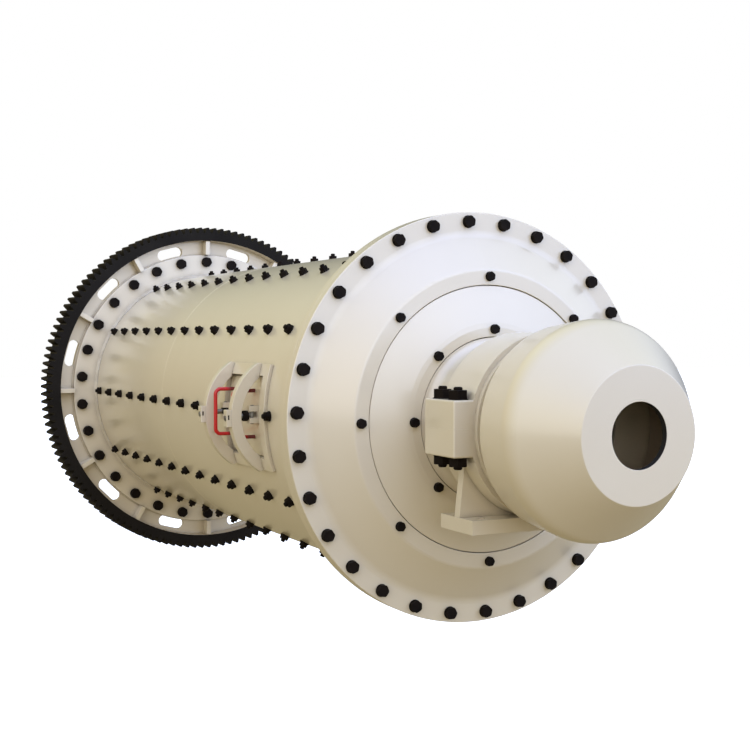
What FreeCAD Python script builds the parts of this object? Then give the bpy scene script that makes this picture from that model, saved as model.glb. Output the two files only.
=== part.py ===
"""Ball mill: a bolted drum on two trunnion bearings, with a girth gear and a feed hood."""

import FreeCAD, Part
import math
import os

Vector = FreeCAD.Vector

# The frame: X runs along the mill axis towards the feed end, Z is up, and the origin is in the
# middle of the feed bearing's sole plate, on its underside. Sizes are in millimetres.

# Setting out
bearing_to_head = 538.0          # middle of a bearing to the face of the nearer head flange
drum_length = 4425.0             # over the faces of the two head flanges
seat_gap = 0.3                   # between curved faces that are welded or seated together
edge_round = 5.0                 # on the rims of castings and flanges
bend_middle = 1 - math.sqrt(0.5)  # how far into its corner a quarter bend reaches, in radii
touching = 0.01                  # points closer than this coincide
small_round = 2.5                # on plates and small parts

# Drum shell and its flanges
shell_outer_radius = 914.0
shell_wall = 22.0
flange_thickness = 50.0
feed_flange_width = 150.0        # shell's outside to the flange's rim
gear_flange_width = 180.0
flange_weld_leg = 16.0

# Heads: an outer cone with a flat bolting band, a shallow inner cone, and the trunnion collar
head_spigot_gap = 2.0
head_cone_step = 35.0            # shell's outside to where the flat flange band turns into the cone
head_cone_rise = 126.0           # flange face out to the outer bolting band
outer_band_inset = 229.0         # shell's outside in to the band's bore
outer_band_width = 77.0
outer_band_thickness = 55.0
outer_band_lap = 87.0            # how far the head plate reaches behind the band, from its bore
head_hollow = 70.0               # radius in the hollow between the flange band and the cone
band_shoulder = 26.0             # radius where a cone turns into its flat band
joint_groove = 4.0               # open groove where one casting sits inside the next
head_plate_rise = 168.0
inner_band_rise = 172.0
inner_band_width = 72.0
inner_band_thickness = 50.0
head_plate_thickness = 45.0
head_plate_turn = 135.0          # how far the plate's sloping back reaches, beyond the trunnion's rim

# Trunnions
journal_radius = 330.0
trunnion_wall = 80.0
trunnion_lap = 83.0              # how far the trunnion's rim reaches behind the inner band, from its bore
trunnion_rim_thickness = 45.0
neck_step = 35.0                 # journal to neck
neck_fillet = 50.0
collar_width = 53.0              # neck to the collar's rim
trunnion_reach = 279.0           # middle of the bearing out to the trunnion's end face

# Bearings
journal_clearance = 0.4          # radial running clearance of the journal
running_gap = 6.0                # between the turning drum and whatever stands beside it
housing_wall = 113.0             # journal to the housing's outside
housing_length = 274.0
ear_width = 85.0                 # housing's outside to the side of the bolting ears
ear_height = 132.0               # above and below the split
housing_round = 9.0              # on the housing's rims and its ears' corners
seal_inset = 23.0                # housing's outside in to the seal's rim
seal_thickness = 26.0
seal_bore_gap = 5.5
sole_length = 294.0
sole_inset = 11.0                # housing's outside in to the side of the sole plate
sole_thickness = 67.0
housing_seat = 22.0              # how much the round housing is cut flat to stand on the sole plate
web_thickness = 46.0
web_foot_inset = 2.0             # side of the sole plate in to the foot of the pedestal web
web_waist_inset = 26.0           # side of the sole plate in to the web below its haunches
haunch_inset = 68.0              # side of the ear in to the top of the haunch
haunch_height = 70.0
foundation_hole_radius = 21.0
foundation_pitch_x = 180.0
foundation_pitch_y = 700.0

# Feed hood
hood_wall = 25.0
hood_face_wall = 30.0
hood_back_radius = 478.0
hood_radius = 506.0              # at its widest, where the shoulder would come to a corner
hood_face_radius = 302.0
hood_back_plate = 25.0
hood_shoulder_round = 125.0
hood_shoulder = 256.0            # hood's back edge to its widest section
hood_length = 518.0
mouth_radius = 146.0

# Discharge spout
spout_step = 5.0                 # trunnion's bore in to the spout's
spout_rim_radius = 385.0
spout_wall = 30.0
spout_length = 170.0
spout_flange = 30.0

# Girth gear
gear_teeth = 134
gear_tip_radius = 1315.0
gear_pressure_angle = 20.0
gear_dedendum = 1.25             # in modules
gear_rim_bore = 1208.0
gear_face_width = 240.0
gear_web_thickness = 34.0
gear_slots = 12
slot_length = 210.0
slot_width = 84.0
slot_radius = 1136.0
rib_thickness = 34.0
rib_setback = 10.0
rib_clearance = 2.5              # under the rim, for the weld

# Manhole, on the side that faces -Y
manhole_from_feed_face = 974.5   # feed flange face to the middle of the opening
manhole_turn = 0.9               # degrees that the frame sits below the level of the axis
opening_length = 545.0
opening_angle = 28.0
frame_bar_feed_side = 68.0
frame_bar_gear_side = 30.0
frame_bar_angle = 4.0            # of the bars above and below the opening
frame_height = 20.0
cover_gap = 8.0
cover_lap = 32.0
cover_recess = 6.0
cover_thickness = 22.0
clamp_offset = -23.0             # middle of the opening to the middle between the bows
bow_spacing = 424.0
bow_thickness = 50.0
bow_rise = 156.0                 # shell's outside to the bow's crown
bow_outer_curve = 350.0
bow_inner_curve = 269.0
bow_depth = 58.0                 # at the crown
block_height = 92.0
block_depth = 26.0
stud_radius = 14.0
stud_hole_gap = 2.0
stud_tip = 3.0
eye_radius = 20.0
eye_thickness = 24.0
eye_from_cover = 34.0
clevis_ear = 30.0
clevis_width = 44.0
clevis_gap = 5.0
clevis_base = 10.0
clevis_pin_radius = 9.0
clevis_pin_length = 104.0
handle_spacing = 284.0
handle_span = 253.0
handle_rod = 10.5
handle_reach = 126.0
handle_corner = 30.0

# Places that follow from the sizes above
feed_face = -bearing_to_head
feed_joint = feed_face - flange_thickness
discharge_face = feed_face - drum_length
gear_web_back = discharge_face + flange_thickness
gear_web_front = gear_web_back + gear_web_thickness
shell_inner_radius = shell_outer_radius - shell_wall
feed_flange_radius = shell_outer_radius + feed_flange_width
gear_flange_radius = shell_outer_radius + gear_flange_width
head_cone_radius = shell_outer_radius + head_cone_step
outer_band_bore = shell_outer_radius - outer_band_inset
outer_band_radius = outer_band_bore + outer_band_width
plate_rim_radius = outer_band_bore + outer_band_lap
trunnion_bore = journal_radius - trunnion_wall
neck_radius = journal_radius + neck_step
inner_band_bore = neck_radius + collar_width + joint_groove
inner_band_radius = inner_band_bore + inner_band_width
trunnion_rim_radius = inner_band_bore + trunnion_lap
housing_radius = journal_radius + housing_wall
axis_height = sole_thickness + housing_radius - housing_seat
ear_reach = housing_radius + ear_width
seal_radius = housing_radius - seal_inset
sole_reach = housing_radius - sole_inset
spout_bore = trunnion_bore - spout_step
bow_peak_radius = shell_outer_radius + bow_rise
manhole_middle = feed_face - manhole_from_feed_face
clamp_middle = manhole_middle + clamp_offset
bow_places = (clamp_middle - bow_spacing / 2, clamp_middle + bow_spacing / 2)
cover_face = shell_outer_radius - cover_recess


def on_axis(x, radius=0.0):
    """A point in the plane above the mill axis."""
    return Vector(x, 0, axis_height + radius)


def turned(edges):
    """Revolve a closed outline of edges, drawn above the mill axis, about that axis."""
    return Part.Face(Part.Wire(edges)).revolve(on_axis(0), Vector(1, 0, 0), 360)


def closed_outline(corners):
    """Edges round a closed outline. A corner is (point, rounding radius), sharp where that is 0."""
    stops = []
    for index, (corner, radius) in enumerate(corners):
        back = (corners[index - 1][0] - corner).normalize()
        ahead = (corners[(index + 1) % len(corners)][0] - corner).normalize()
        if not radius:
            stops.append((corner, None, corner))
            continue
        half_angle = back.getAngle(ahead) / 2
        inward = (back + ahead).normalize()
        centre = corner + inward * (radius / math.sin(half_angle))
        reach = radius / math.tan(half_angle)
        stops.append((corner + back * reach, centre - inward * radius, corner + ahead * reach))
    edges = []
    for (start, middle, end), (after, _, _) in zip(stops, stops[1:] + stops[:1]):
        if middle is not None:
            edges.append(Part.Arc(start, middle, end).toShape())
        edges.append(Part.LineSegment(end, after).toShape())
    return edges


def lines(points):
    """Straight edges through (x, radius) points."""
    corners = [on_axis(x, radius) for x, radius in points]
    return [Part.LineSegment(a, b).toShape() for a, b in zip(corners, corners[1:])]


def turned_outline(points):
    """Revolve a closed outline of (x, radius) or (x, radius, rounding) corners."""
    return turned(closed_outline([
        (on_axis(point[0], point[1]), point[2] if len(point) > 2 else 0) for point in points]))


def ring(x_start, x_end, inner, outer):
    low, high = min(x_start, x_end), max(x_start, x_end)
    tube = Part.makeCylinder(outer, high - low, on_axis(low), Vector(1, 0, 0))
    return tube.cut(Part.makeCylinder(inner, high - low, on_axis(low), Vector(1, 0, 0)))


def rod(start, end, radius):
    run = end - start
    return Part.makeCylinder(radius, run.Length, start, run)


def block(x_range, y_range, z_range):
    low = Vector(x_range[0], y_range[0], z_range[0])
    high = Vector(x_range[1], y_range[1], z_range[1])
    size = high - low
    return Part.makeBox(size.x, size.y, size.z, low)


def about_axis(shape, degrees):
    """A copy of a shape turned about the mill axis, from the top towards -Y."""
    copy = shape.copy()
    copy.rotate(on_axis(0), Vector(1, 0, 0), degrees)
    return copy


def to_discharge_end(shape):
    """The mirror image of a feed-end shape, at the discharge end."""
    middle = (feed_face + discharge_face) / 2
    return shape.mirror(Vector(middle, 0, 0), Vector(1, 0, 0))


def together(shapes):
    return Part.Compound(shapes) if len(shapes) > 1 else shapes[0]


def shell():
    tube = ring(gear_web_front, feed_joint, shell_inner_radius, shell_outer_radius)
    return tube.cut(manhole_sector(shell_inner_radius - shell_wall, shell_outer_radius + shell_wall, 0))


def shell_flange(x_joint, x_back, radius):
    """A ring welded round the shell's end, with its weld bead on the side away from the joint."""
    step = math.copysign(flange_weld_leg, x_back - x_joint)
    bore = shell_outer_radius + seat_gap
    return turned_outline([
        (x_joint, bore), (x_joint, radius, small_round), (x_back, radius, edge_round),
        (x_back, bore + flange_weld_leg), (x_back + step, bore)])


def head(flange_radius):
    """The outer casting of the feed head: bolted flange, cone and flat bolting band."""
    spigot = shell_inner_radius - head_spigot_gap
    band_face = feed_face + head_cone_rise
    band_back = band_face - outer_band_thickness
    return turned_outline([
        (feed_joint, flange_radius, small_round), (feed_face, flange_radius, edge_round),
        (feed_face, head_cone_radius, head_hollow), (band_face, outer_band_radius, band_shoulder),
        (band_face, outer_band_bore, small_round), (band_back, outer_band_bore),
        (band_back, plate_rim_radius + joint_groove), (feed_joint, spigot)])


def head_plate():
    """The shallow cone that is bolted behind the head's band and carries the inner band."""
    outer_back = feed_face + head_cone_rise - outer_band_thickness
    inner_face = feed_face + inner_band_rise
    inner_back = inner_face - inner_band_thickness
    lip = outer_band_bore - joint_groove
    plate_back = outer_back - head_plate_thickness
    return turned_outline([
        (outer_back, plate_rim_radius), (outer_back, lip),
        (feed_face + head_cone_rise - joint_groove, lip, small_round),
        (feed_face + head_plate_rise, inner_band_radius, band_shoulder),
        (inner_face, inner_band_radius - band_shoulder, band_shoulder / 2),
        (inner_face, inner_band_bore, small_round), (inner_back, inner_band_bore),
        (inner_back, trunnion_rim_radius + joint_groove),
        (plate_back, trunnion_rim_radius + head_plate_turn), (plate_back, plate_rim_radius)])


def trunnion():
    """Rim, collar, filleted neck and journal, bored through."""
    rim_face = feed_face + inner_band_rise - inner_band_thickness
    rim_back = rim_face - trunnion_rim_thickness
    collar = inner_band_bore - joint_groove
    collar_face = feed_face + inner_band_rise - joint_groove
    shoulder = -(housing_length / 2 + seal_thickness + running_gap)
    return turned_outline([
        (rim_back, trunnion_bore), (rim_back, trunnion_rim_radius), (rim_face, trunnion_rim_radius),
        (rim_face, collar), (collar_face, collar, small_round), (collar_face, neck_radius, neck_fillet),
        (shoulder, neck_radius, edge_round), (shoulder, journal_radius),
        (trunnion_reach, journal_radius), (trunnion_reach, trunnion_bore)])


def feed_hood():
    """A hollow bell with a round shoulder, a cone in front of it and a flat face with a round mouth."""
    back = trunnion_reach
    shoulder = back + hood_shoulder
    face = back + hood_length
    inside = face - hood_face_wall
    taper = (hood_radius - hood_face_radius) / (face - shoulder)
    cone_wall = hood_wall * math.hypot(1, taper)       # the cone's wall, measured across the axis
    return turned_outline([
        (back, hood_back_radius - hood_wall), (back, hood_back_radius, edge_round),
        (shoulder, hood_radius, hood_shoulder_round), (face, hood_face_radius, edge_round),
        (face, mouth_radius), (inside, mouth_radius),
        (inside, hood_face_radius + taper * hood_face_wall - cone_wall),
        (shoulder, hood_radius - cone_wall, hood_shoulder_round - hood_wall)])


def on_plane(edge, x):
    """Whether an edge lies in the plane across the mill axis at x."""
    return abs(edge.BoundBox.XMin - x) < touching and abs(edge.BoundBox.XMax - x) < touching


def hood_back():
    """The annular plate that bolts the hood to the trunnion's end face."""
    rim = hood_back_radius - hood_wall - seat_gap
    return ring(trunnion_reach, trunnion_reach + hood_back_plate, trunnion_bore, rim)


def discharge_spout():
    """A flanged spout on the discharge trunnion, drawn at the feed end and mirrored."""
    start = trunnion_reach
    end = start + spout_length
    return to_discharge_end(turned_outline([
        (start, spout_bore), (start, journal_radius), (start + spout_flange, journal_radius, edge_round),
        (start + spout_flange, spout_bore + spout_wall), (end - spout_wall, spout_bore + spout_wall),
        (end - spout_wall, spout_rim_radius, edge_round), (end, spout_rim_radius, edge_round),
        (end, spout_bore)]))


def housing_half(upper):
    """One half of a split bearing housing, with its bolting ears."""
    half = housing_length / 2
    along = Vector(1, 0, 0)
    ear_tip = axis_height + (ear_height if upper else -ear_height)
    end = axis_height + housing_radius if upper else sole_thickness
    ears = block((-half, half), (-ear_reach, ear_reach), sorted((axis_height, ear_tip)))
    body = Part.makeCylinder(housing_radius, housing_length, on_axis(-half), along).fuse(ears)
    keep = block((-half, half), (-ear_reach, ear_reach), sorted((axis_height, end)))
    body = body.common(keep).removeSplitter()
    body = body.makeFillet(housing_round, [edge for edge in body.Edges if is_outer_corner(edge, ear_tip)])
    bore = Part.makeCylinder(journal_radius + journal_clearance, housing_length, on_axis(-half), along)
    return body.cut(bore)


def is_outer_corner(edge, ear_tip):
    """Whether to round an edge of a housing: its ears' outer corners and its two faces' rims."""
    box = edge.BoundBox
    on_side = abs(abs(box.Center.y) - ear_reach) < touching and box.YLength < touching
    on_tip = abs(box.Center.z - ear_tip) < touching and box.ZLength < touching
    on_face = abs(abs(box.Center.x) - housing_length / 2) < touching and box.XLength < touching
    rim = on_face and box.YLength > housing_radius and box.ZLength > ear_height
    return on_side and (on_tip or on_face) or on_face and on_tip or rim


def seals():
    half = housing_length / 2
    bore = journal_radius + seal_bore_gap
    return [ring(half, half + seal_thickness, bore, seal_radius),
            ring(-half - seal_thickness, -half, bore, seal_radius)]


def sole_plate():
    half = sole_length / 2
    plate = block((-half, half), (-sole_reach, sole_reach), (0, sole_thickness))
    for x in (-foundation_pitch_x / 2, foundation_pitch_x / 2):
        for y in (-foundation_pitch_y / 2, foundation_pitch_y / 2):
            plate = plate.cut(rod(Vector(x, y, 0), Vector(x, y, sole_thickness), foundation_hole_radius))
    return plate


def pedestal_webs():
    """The upright web, left and right of the housing, with haunches under the ears."""
    top = axis_height - ear_height
    waist_top = top - haunch_height
    half = web_thickness / 2
    foot = sole_reach - web_foot_inset
    waist = sole_reach - web_waist_inset
    haunch_reach = ear_reach - haunch_inset
    webs = []
    for side in (-1, 1):
        def at(y, z):
            return Vector(-half, side * y, z)
        bulge = (haunch_reach - waist) * bend_middle
        haunch_middle = at(waist + bulge, top - haunch_height * bend_middle)
        edges = [
            Part.LineSegment(at(0, sole_thickness), at(foot, sole_thickness)).toShape(),
            Part.LineSegment(at(foot, sole_thickness), at(waist, waist_top)).toShape(),
            Part.Arc(at(waist, waist_top), haunch_middle, at(haunch_reach, top)).toShape(),
            Part.LineSegment(at(haunch_reach, top), at(0, top)).toShape(),
            Part.LineSegment(at(0, top), at(0, sole_thickness)).toShape()]
        plate = Part.Face(Part.Wire(edges)).extrude(Vector(web_thickness, 0, 0))
        housing = Part.makeCylinder(housing_radius + seat_gap, housing_length,
                                    on_axis(-housing_length / 2), Vector(1, 0, 0))
        webs.append(plate.cut(housing))
    return webs


def involute(angle):
    return math.tan(angle) - angle


def gear_rim():
    """Rim with involute spur teeth."""
    module = 2 * gear_tip_radius / (gear_teeth + 2)
    pitch_radius = module * gear_teeth / 2
    root_radius = pitch_radius - gear_dedendum * module
    pressure = math.radians(gear_pressure_angle)
    tooth_step = 2 * math.pi / gear_teeth

    def corner(tooth, side, radius):
        here = math.acos(pitch_radius * math.cos(pressure) / radius)
        half_tooth = tooth_step / 4 + involute(pressure) - involute(here)
        angle = tooth * tooth_step + side * half_tooth
        return Vector(rim_front(), -radius * math.sin(angle), axis_height + radius * math.cos(angle))

    edges = []
    for tooth in range(gear_teeth):
        rising = [corner(tooth, -1, radius) for radius in (root_radius, pitch_radius, gear_tip_radius)]
        falling = [corner(tooth, 1, radius) for radius in (gear_tip_radius, pitch_radius, root_radius)]
        edges.append(Part.Arc(*rising).toShape())
        edges.append(Part.LineSegment(rising[2], falling[0]).toShape())
        edges.append(Part.Arc(*falling).toShape())
        edges.append(Part.LineSegment(falling[2], corner(tooth + 1, -1, root_radius)).toShape())
    rim = Part.Face(Part.Wire(edges)).extrude(Vector(-gear_face_width, 0, 0))
    return rim.cut(Part.makeCylinder(gear_rim_bore, gear_face_width,
                                     on_axis(rim_front() - gear_face_width), Vector(1, 0, 0)))


def rim_front():
    return (gear_web_front + gear_web_back) / 2 + gear_face_width / 2


def gear_web():
    """The flat ring clamped between the flanges, with obround slots near the rim."""
    web = ring(gear_web_back, gear_web_front, shell_outer_radius + seat_gap, gear_rim_bore - seat_gap)
    half = slot_length / 2 - slot_width / 2
    depth = (gear_web_back, gear_web_front)
    middle = axis_height + slot_radius
    slot = block(depth, (-half, half), (middle - slot_width / 2, middle + slot_width / 2))
    for y in (-half, half):
        slot = slot.fuse(rod(Vector(depth[0], y, middle), Vector(depth[1], y, middle), slot_width / 2))
    step = 360 / gear_slots
    for index in range(gear_slots):
        web = web.cut(about_axis(slot, (index + 0.5) * step))
    return web


def gear_ribs():
    """Radial ribs between the slots, on both faces of the web."""
    low = axis_height + gear_flange_radius + seat_gap
    high = axis_height + gear_rim_bore - rib_clearance
    faces = ((gear_web_front, rim_front() - rib_setback),
             (rim_front() - gear_face_width + rib_setback, gear_web_back))
    step = 360 / gear_slots
    return [about_axis(block(face, (-rib_thickness / 2, rib_thickness / 2), (low, high)), index * step)
            for face in faces for index in range(gear_slots)]


def curved_block(inner, outer, x_range, angle):
    """A piece of tube round the mill axis, at the manhole's height."""
    low, high = x_range
    corners = [(low, inner), (low, outer), (high, outer), (high, inner), (low, inner)]
    start = 90 + manhole_turn - angle / 2
    section = about_axis(Part.Face(Part.Wire(lines(corners))), start)
    return section.revolve(on_axis(0), Vector(1, 0, 0), angle)


def manhole_sector(inner, outer, margin):
    """The curved block of the manhole's opening, widened by a margin all round."""
    reach = opening_length / 2 + margin
    angle = opening_angle + 2 * math.degrees(margin / shell_outer_radius)
    return curved_block(inner, outer, (manhole_middle - reach, manhole_middle + reach), angle)


def manhole_frame():
    inner = shell_outer_radius + seat_gap
    outer = shell_outer_radius + frame_height
    ends = (manhole_middle - opening_length / 2 - frame_bar_gear_side,
            manhole_middle + opening_length / 2 + frame_bar_feed_side)
    plate = curved_block(inner, outer, ends, opening_angle + 2 * frame_bar_angle)
    outside = [edge for edge in plate.Edges if edge.BoundBox.XLength < touching and abs(
        edge.distToShape(Part.Vertex(on_axis(edge.BoundBox.XMin)))[0] - outer) < touching]
    plate = plate.makeChamfer(small_round, outside)
    return plate.cut(manhole_sector(inner - frame_height, outer + frame_height, 0))


def manhole_cover():
    """A curved plug in the opening, with a lip that bears on the inside of the shell."""
    seat = shell_inner_radius - seat_gap
    plug = manhole_sector(seat - cover_thickness, cover_face, -cover_gap)
    lip = manhole_sector(seat - cover_thickness, seat, cover_lap)
    return plug.fuse(lip).removeSplitter()


def whole_bow(x_middle):
    """A curved clamping bow that bridges the opening, with its feet on the frame."""
    start = x_middle - bow_thickness / 2
    along = Vector(1, 0, 0)
    outer_centre = Vector(start, -(bow_peak_radius - bow_outer_curve), axis_height)
    inner_centre = Vector(start, -(bow_peak_radius - bow_depth - bow_inner_curve), axis_height)
    body = Part.makeCylinder(bow_outer_curve, bow_thickness, outer_centre, along)
    rims = [edge for edge in body.Edges if on_plane(edge, start) or on_plane(edge, start + bow_thickness)]
    body = body.makeFillet(small_round, rims)
    body = body.cut(Part.makeCylinder(bow_inner_curve, bow_thickness, inner_centre, along))
    body = about_axis(body, manhole_turn)
    angle = opening_angle + 2 * frame_bar_angle
    seat = shell_outer_radius + frame_height + seat_gap
    bridge = curved_block(seat, bow_peak_radius + bow_depth, (start, start + bow_thickness), angle)
    return body.common(bridge)


def stud_axis(x_middle):
    """The eye of a stud, and the middle of its block's outer face, which lie a little askew."""
    eye = Vector(x_middle, -(cover_face + eye_from_cover), axis_height)
    out = about_axis(Part.Vertex(Vector(x_middle, 0, axis_height + bow_peak_radius + block_depth)),
                     90 + manhole_turn).Point
    return eye, out


def stud_hole(x_middle):
    eye, out = stud_axis(x_middle)
    return rod(eye, out + (out - eye) * 0.5, stud_radius + stud_hole_gap)


def manhole_bow(x_middle):
    return whole_bow(x_middle).cut(stud_hole(x_middle))


def manhole_blocks():
    """Blocks that sit on the crown of each bow, under the stud's head."""
    blocks = []
    for x in bow_places:
        ends = (x - bow_thickness / 2, x + bow_thickness / 2)
        height = (axis_height - block_height / 2, axis_height + block_height / 2)
        solid = block(ends, (-bow_peak_radius - block_depth, -bow_peak_radius + block_depth), height)
        solid = solid.makeChamfer(small_round, [edge for edge in solid.Edges if on_outer_face(edge)])
        crown = Part.makeCylinder(
            bow_outer_curve + seat_gap, bow_thickness,
            Vector(ends[0], -(bow_peak_radius - bow_outer_curve), axis_height), Vector(1, 0, 0))
        blocks.append(about_axis(solid.cut(crown), manhole_turn).cut(stud_hole(x)))
    return blocks


def on_outer_face(edge):
    """Whether an edge bounds a block's outer face."""
    return abs(edge.BoundBox.YMax + bow_peak_radius + block_depth) < touching


def manhole_studs():
    """Eye studs that pull the cover out against its bows, each with its clevis pin."""
    studs = []
    for x in bow_places:
        eye, out = stud_axis(x)
        tip = out + (out - eye).normalize() * stud_tip
        ring_half = Vector(0, 0, eye_thickness / 2)
        pin_half = Vector(0, 0, clevis_pin_length / 2)
        stud = rod(eye - ring_half, eye + ring_half, eye_radius).fuse(rod(eye, tip, stud_radius))
        studs.append(stud.fuse(rod(eye - pin_half, eye + pin_half, clevis_pin_radius)).removeSplitter())
    return studs


def manhole_clevises():
    """Two-eared lugs on the cover, one under each bow."""
    eye_y = -(cover_face + eye_from_cover)
    half = eye_thickness / 2 + clevis_gap
    reach = half + clevis_ear
    crown = math.sqrt(cover_face ** 2 - reach ** 2)
    clevises = []
    for x in bow_places:
        sides = (x - clevis_width / 2, x + clevis_width / 2)
        lug = block(sides, (-cover_face - clevis_base, -crown), (axis_height - reach, axis_height + reach))
        for side in (-1, 1):
            span = sorted((axis_height + side * half, axis_height + side * reach))
            lug = lug.fuse(block(sides, (eye_y - clevis_width / 2, -cover_face), span))
        pin = Vector(0, 0, clevis_pin_length)
        middle = Vector(x, eye_y, axis_height)
        hole = rod(middle - pin, middle + pin, clevis_pin_radius + seat_gap)
        under = Part.makeCylinder(cover_face + seat_gap, 2 * clevis_width, on_axis(x - clevis_width),
                                  Vector(1, 0, 0))
        clevises.append(lug.removeSplitter().cut(hole).cut(under))
    return clevises


def manhole_handles():
    """Round-rod lifting handles welded to the cover."""
    half = handle_span / 2
    seat = -math.sqrt((cover_face + seat_gap) ** 2 - half ** 2)
    foot = seat + handle_rod / 2
    grip = seat - handle_reach
    bend = handle_corner * bend_middle
    handles = []
    for x in (clamp_middle - handle_spacing / 2, clamp_middle + handle_spacing / 2):
        def at(y, z):
            return Vector(x, y, axis_height + z)
        path = Part.Wire([
            Part.LineSegment(at(foot, -half), at(grip + handle_corner, -half)).toShape(),
            Part.Arc(at(grip + handle_corner, -half), at(grip + bend, -half + bend),
                     at(grip, -half + handle_corner)).toShape(),
            Part.LineSegment(at(grip, -half + handle_corner), at(grip, half - handle_corner)).toShape(),
            Part.Arc(at(grip, half - handle_corner), at(grip + bend, half - bend),
                     at(grip + handle_corner, half)).toShape(),
            Part.LineSegment(at(grip + handle_corner, half), at(foot, half)).toShape()])
        section = Part.Wire(Part.Circle(at(foot, -half), Vector(0, 1, 0), handle_rod).toShape())
        bar = path.makePipeShell([section], True, False)
        under = Part.makeCylinder(cover_face + seat_gap, 4 * handle_rod, on_axis(x - 2 * handle_rod),
                                  Vector(1, 0, 0))
        handles.append(bar.cut(under))
    return handles


def build():
    feed_head, discharge_head = head(feed_flange_radius), head(gear_flange_radius)
    nodes = {
        "feed_sole_plate": sole_plate(),
        "feed_pedestal_webs": together(pedestal_webs()),
        "feed_bearing_base": housing_half(False),
        "feed_bearing_cap": housing_half(True),
        "feed_bearing_seals": together(seals()),
        "shell": shell(),
        "feed_shell_flange": shell_flange(feed_joint, feed_joint - flange_thickness, feed_flange_radius),
        "discharge_shell_flange": shell_flange(
            gear_web_front, gear_web_front + flange_thickness, gear_flange_radius),
        "feed_head": feed_head,
        "feed_head_plate": head_plate(),
        "feed_trunnion": trunnion(),
        "feed_hood": feed_hood(),
        "feed_hood_back": hood_back(),
        "discharge_head": to_discharge_end(discharge_head),
        "discharge_head_plate": to_discharge_end(head_plate()),
        "discharge_trunnion": to_discharge_end(trunnion()),
        "discharge_spout": discharge_spout(),
        "girth_gear_rim": gear_rim(),
        "girth_gear_web": gear_web(),
        "girth_gear_ribs": together(gear_ribs()),
        "manhole_frame": manhole_frame(),
        "manhole_cover": manhole_cover(),
        "manhole_bow_gear_side": manhole_bow(bow_places[0]),
        "manhole_bow_feed_side": manhole_bow(bow_places[1]),
        "manhole_bow_blocks": together(manhole_blocks()),
        "manhole_studs": together(manhole_studs()),
        "manhole_clevises": together(manhole_clevises()),
        "manhole_handles": together(manhole_handles()),
    }
    for name in [name for name in nodes if name.startswith("feed_")]:
        if "bearing" in name or "sole" in name or "pedestal" in name:
            nodes[name.replace("feed_", "discharge_")] = to_discharge_end(nodes[name])
    return nodes


os.makedirs("parts", exist_ok=True)
for node, shape in build().items():
    if not shape.isValid():
        raise ValueError("invalid solid: " + node)
    shape.exportStep("parts/" + node + ".step")
    box = shape.BoundBox
    print("%-24s %2d solids %10.1f..%-9.1f %9.1f..%-9.1f %8.1f..%-8.1f %8.4f m3" % (
        node, len(shape.Solids), box.XMin, box.XMax, box.YMin, box.YMax, box.ZMin, box.ZMax,
        sum(solid.Volume for solid in shape.Solids) / 1e9))
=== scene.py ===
import bpy
import math
import random
from mathutils import Matrix, Vector


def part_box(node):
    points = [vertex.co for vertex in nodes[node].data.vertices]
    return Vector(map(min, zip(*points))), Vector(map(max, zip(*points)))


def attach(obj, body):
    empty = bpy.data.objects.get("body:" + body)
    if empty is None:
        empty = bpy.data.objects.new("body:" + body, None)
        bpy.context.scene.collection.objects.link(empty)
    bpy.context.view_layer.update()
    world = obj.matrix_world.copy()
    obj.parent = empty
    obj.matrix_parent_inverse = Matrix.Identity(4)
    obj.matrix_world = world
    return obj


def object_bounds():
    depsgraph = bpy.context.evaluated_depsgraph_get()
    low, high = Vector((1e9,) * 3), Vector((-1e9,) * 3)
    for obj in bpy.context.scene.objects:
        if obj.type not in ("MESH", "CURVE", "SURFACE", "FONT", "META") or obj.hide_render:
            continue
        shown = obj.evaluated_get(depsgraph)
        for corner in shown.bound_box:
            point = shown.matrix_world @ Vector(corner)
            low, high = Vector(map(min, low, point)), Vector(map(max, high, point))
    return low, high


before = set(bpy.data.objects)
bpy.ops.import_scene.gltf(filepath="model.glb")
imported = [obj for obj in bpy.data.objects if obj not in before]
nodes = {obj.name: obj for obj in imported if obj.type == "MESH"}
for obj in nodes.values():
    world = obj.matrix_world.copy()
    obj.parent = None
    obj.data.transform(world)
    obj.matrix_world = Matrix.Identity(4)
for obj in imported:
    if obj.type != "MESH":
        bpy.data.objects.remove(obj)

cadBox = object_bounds()
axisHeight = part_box("feed_bearing_cap")[0].z     # the housings split at the mill axis
random.seed(7)


def deselectAll():
    bpy.ops.object.select_all(action="DESELECT")


def makeActive(piece):
    deselectAll()
    piece.select_set(True)
    bpy.context.view_layer.objects.active = piece


def settle(piece):     # its place goes into its mesh
    makeActive(piece)
    bpy.ops.object.transform_apply(location=True, rotation=True, scale=True)
    return piece


def pickEdges(piece, test):     # into edit mode, with only these edges selected
    makeActive(piece)
    bpy.ops.object.mode_set(mode="EDIT")
    bpy.ops.mesh.select_mode(type="EDGE")
    bpy.ops.mesh.select_all(action="DESELECT")
    bpy.ops.object.mode_set(mode="OBJECT")
    points = piece.data.vertices
    for edge in piece.data.edges:
        edge.select = test(points[edge.vertices[0]].co, points[edge.vertices[1]].co)
    bpy.ops.object.mode_set(mode="EDIT")


def pickPoints(piece, test):
    makeActive(piece)
    bpy.ops.object.mode_set(mode="EDIT")
    bpy.ops.mesh.select_mode(type="VERT")
    bpy.ops.mesh.select_all(action="DESELECT")
    bpy.ops.object.mode_set(mode="OBJECT")
    for point in piece.data.vertices:
        point.select = test(point.co)
    bpy.ops.object.mode_set(mode="EDIT")


def doneEditing():
    bpy.ops.object.mode_set(mode="OBJECT")


def joinAll(parts, name):
    deselectAll()
    for part in parts:
        part.select_set(True)
    bpy.context.view_layer.objects.active = parts[0]
    if len(parts) > 1:
        bpy.ops.object.join()
    joined = bpy.context.view_layer.objects.active
    joined.name = name
    joined.data.name = name
    return joined


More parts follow.
